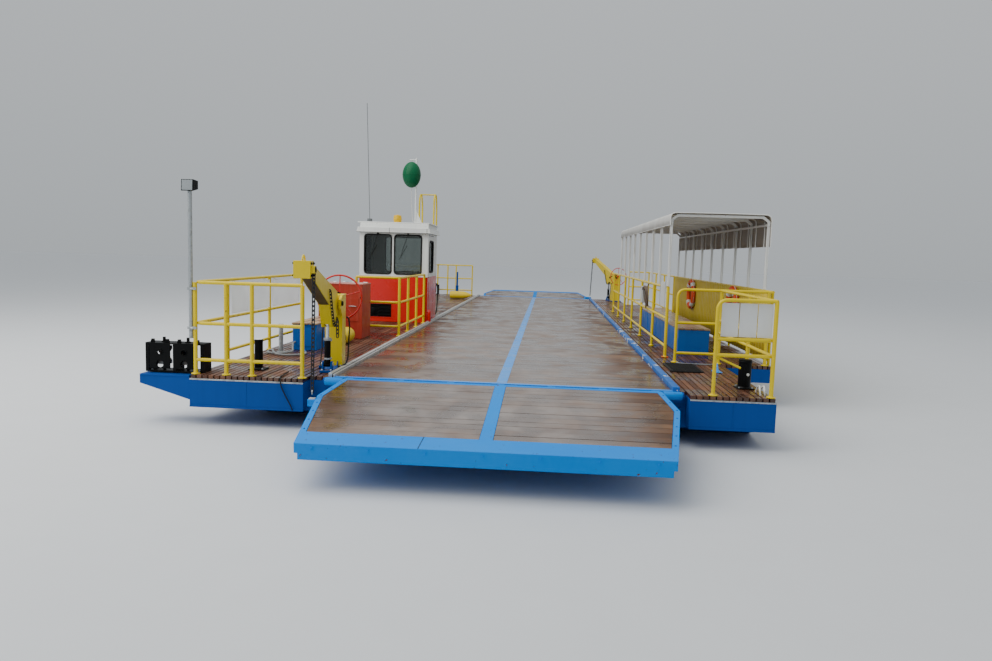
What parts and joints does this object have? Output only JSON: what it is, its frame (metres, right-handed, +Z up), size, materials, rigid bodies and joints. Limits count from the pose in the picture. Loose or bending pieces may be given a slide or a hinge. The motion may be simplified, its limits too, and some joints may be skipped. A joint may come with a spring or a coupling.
{
  "type": "river cable ferry with a roadway and a passenger stand",
  "caption": "Flat steel ferry with a planked roadway, hinged end ramps on hoists, a small cabin and a roofed passenger stand",
  "frame": {"origin": "middle of the bounding box, on the flat bottom of the pontoon", "axes": "+Y along the roadway from the near ramp to the far ramp, +X to the passenger stand, +Z up"},
  "size_m": [8.094, 23.5984, 5.5102],
  "materials": {
    "antenna_plastic": "glass fibre whip",
    "amber_plastic": "amber lens",
    "bench_blue": "gloss enamel",
    "oak_planks": "wet weathered hardwood",
    "black_paint": "satin enamel",
    "red_paint": "gloss enamel",
    "console_grey": "satin enamel",
    "window_glass": "clear",
    "white_paint": "gloss enamel",
    "sheave_steel": "worn cast sheave",
    "canopy_frame_white": "white enamel on steel section",
    "canopy_sheet_white": "weathered sheet",
    "engine_iron": "painted casting",
    "dark_red_paint": "weathered enamel",
    "float_yellow_plastic": "moulded float",
    "galvanised_steel": "galvanised",
    "yellow_paint": "gloss enamel",
    "chain_steel": "greasy steel chain",
    "rod_chrome": "polished rod",
    "hull_blue": "semi-gloss marine enamel",
    "orange_plastic": "life ring cover",
    "deck_steel_sky_blue": "wet gloss enamel on steel plate"
  },
  "bodies": {
    "root": {"antenna": "antenna_plastic", "beacon": "amber_plastic", "bench_box": "bench_blue", "bench_left": "bench_blue", "bench_slats": "oak_planks", "bollard_far": "bench_blue", "bollard_left": "black_paint", "bollard_right": "black_paint", "cabin_base": "red_paint", "cabin_console": "console_grey", "cabin_front_glass": "window_glass", "cabin_roof": "white_paint", "cabin_walls": "white_paint", "cable_guide_far": "black_paint", "cable_guide_near": "black_paint", "canopy_frame_far": "canopy_frame_white", "canopy_frame_near": "canopy_frame_white", "canopy_sheet": "canopy_sheet_white", "engine_block": "engine_iron", "engine_housing": "dark_red_paint", "float_far": "float_yellow_plastic", "float_near": "float_yellow_plastic", "floodlight": "galvanised_steel", "hoist_column_far": "yellow_paint", "hoist_column_near": "yellow_paint", "hull": "hull_blue", "life_ring_far": "orange_plastic", "life_ring_near": "orange_plastic", "passenger_wall": "yellow_paint", "platform_planks_left": "oak_planks", "platform_planks_right": "oak_planks", "railing_cabin": "yellow_paint", "railing_inner": "yellow_paint", "railing_left_far": "yellow_paint", "railing_left_near": "yellow_paint", "railing_right_far": "yellow_paint", "railing_right_near": "yellow_paint", "roadway_frame": "deck_steel_sky_blue", "roadway_planks": "oak_planks", "roof_ladder": "yellow_paint", "signal_mast": "white_paint"},
    "ramp_near": {"ramp_frame_near": "deck_steel_sky_blue", "ramp_planks_near": "oak_planks"},
    "boom_near": {"hoist_boom_near": "yellow_paint"},
    "chain_near": {"hoist_chain_near": "chain_steel"},
    "cylinder_near": {"hoist_cylinder_near": "black_paint"},
    "rod_near": {"hoist_rod_near": "rod_chrome"},
    "wheel_near": {"hand_wheel_near": "red_paint"},
    "sheave_near_1": {"cable_sheave_near_1": "sheave_steel"},
    "sheave_near_2": {"cable_sheave_near_2": "sheave_steel"},
    "ramp_far": {"ramp_frame_far": "deck_steel_sky_blue", "ramp_planks_far": "oak_planks"},
    "boom_far": {"hoist_boom_far": "yellow_paint"},
    "chain_far": {"hoist_chain_far": "chain_steel"},
    "cylinder_far": {"hoist_cylinder_far": "black_paint"},
    "rod_far": {"hoist_rod_far": "rod_chrome"},
    "wheel_far": {"hand_wheel_far": "red_paint"},
    "sheave_far_1": {"cable_sheave_far_1": "sheave_steel"},
    "sheave_far_2": {"cable_sheave_far_2": "sheave_steel"},
    "door": {"cabin_door": "red_paint"}
  },
  "joints": [
    {"name": "ramp_near_lift", "type": "hinge", "parent": "root", "child": "ramp_near", "pos_m": [0.213, -9.47303, 0.804], "axis": [-1, 0, 0], "range_deg": [-4, 26]},
    {"name": "boom_near_lift", "type": "hinge", "parent": "root", "child": "boom_near", "pos_m": [-1.991, -8.76303, 1.68], "axis": [-0.996, -0.0896, 0], "range_deg": [-2.66, 14.54]},
    {"name": "chain_near_swing", "type": "hinge", "parent": "boom_near", "child": "chain_near", "pos_m": [-1.737, -10.33661, 2.092], "axis": [-0.996, -0.0896, 0], "range_deg": [-11, 2.12]},
    {"name": "cylinder_near_tilt", "type": "hinge", "parent": "root", "child": "cylinder_near", "pos_m": [-1.96323, -9.07179, 0.945], "axis": [-0.996, -0.0896, 0], "range_deg": [-5.13, 1.21]},
    {"name": "rod_near_stroke", "type": "slide", "parent": "cylinder_near", "child": "rod_near", "axis": [0, 0, 1], "range_m": [-0.0166, 0.08588]},
    {"name": "wheel_near_spin", "type": "hinge", "parent": "root", "child": "wheel_near", "pos_m": [-2.03132, -8.31484, 1.73], "axis": [-0.0896, 0.996, 0], "continuous": true},
    {"name": "sheave_near_1_spin", "type": "hinge", "parent": "root", "child": "sheave_near_1", "pos_m": [-3.847, -9.44103, 1.04], "axis": [0, 0, 1], "continuous": true},
    {"name": "sheave_near_2_spin", "type": "hinge", "parent": "root", "child": "sheave_near_2", "pos_m": [-3.552, -9.44103, 1.04], "axis": [0, 0, 1], "continuous": true},
    {"name": "ramp_far_lift", "type": "hinge", "parent": "root", "child": "ramp_far", "pos_m": [0.213, 9.46697, 0.804], "axis": [1, 0, 0], "range_deg": [-11.6, 18.4]},
    {"name": "boom_far_lift", "type": "hinge", "parent": "root", "child": "boom_far", "pos_m": [2.973, 8.75697, 1.68], "axis": [0.9367, 0.3502, 0], "range_deg": [-6.76, 10.44]},
    {"name": "chain_far_swing", "type": "hinge", "parent": "boom_far", "child": "chain_far", "pos_m": [2.32302, 10.17562, 2.20473], "axis": [0.9367, 0.3502, 0], "range_deg": [-8, 5.23]},
    {"name": "cylinder_far_tilt", "type": "hinge", "parent": "root", "child": "cylinder_far", "pos_m": [2.86444, 9.04734, 0.945], "axis": [0.9367, 0.3502, 0], "range_deg": [-3.55, 2.42]},
    {"name": "rod_far_stroke", "type": "slide", "parent": "cylinder_far", "child": "rod_far", "axis": [-0.0097, 0.026, 0.9996], "range_m": [-0.0411, 0.06285]},
    {"name": "wheel_far_spin", "type": "hinge", "parent": "root", "child": "wheel_far", "pos_m": [3.13059, 8.33546, 1.73], "axis": [0.3502, -0.9367, 0], "continuous": true},
    {"name": "sheave_far_1_spin", "type": "hinge", "parent": "root", "child": "sheave_far_1", "pos_m": [-3.847, 9.43497, 1.04], "axis": [0, 0, 1], "continuous": true},
    {"name": "sheave_far_2_spin", "type": "hinge", "parent": "root", "child": "sheave_far_2", "pos_m": [-3.552, 9.43497, 1.04], "axis": [0, 0, 1], "continuous": true},
    {"name": "door_swing", "type": "hinge", "parent": "root", "child": "door", "pos_m": [-1.864, -1.38103, 1.75], "axis": [0, 0, 1], "range_deg": [0, 100]}
  ],
  "couplings": [
    {"joint": "boom_near_lift", "follows": "ramp_near_lift", "ratio": 0.54},
    {"joint": "chain_near_swing", "follows": "ramp_near_lift", "ratio": -0.40395},
    {"joint": "cylinder_near_tilt", "follows": "ramp_near_lift", "ratio": -0.17807},
    {"joint": "rod_near_stroke", "follows": "ramp_near_lift", "m_per_rad": 0.18044},
    {"joint": "boom_far_lift", "follows": "ramp_far_lift", "ratio": 0.54},
    {"joint": "chain_far_swing", "follows": "ramp_far_lift", "ratio": -0.40747},
    {"joint": "cylinder_far_tilt", "follows": "ramp_far_lift", "ratio": -0.1658},
    {"joint": "rod_far_stroke", "follows": "ramp_far_lift", "m_per_rad": 0.18326}
  ]
}
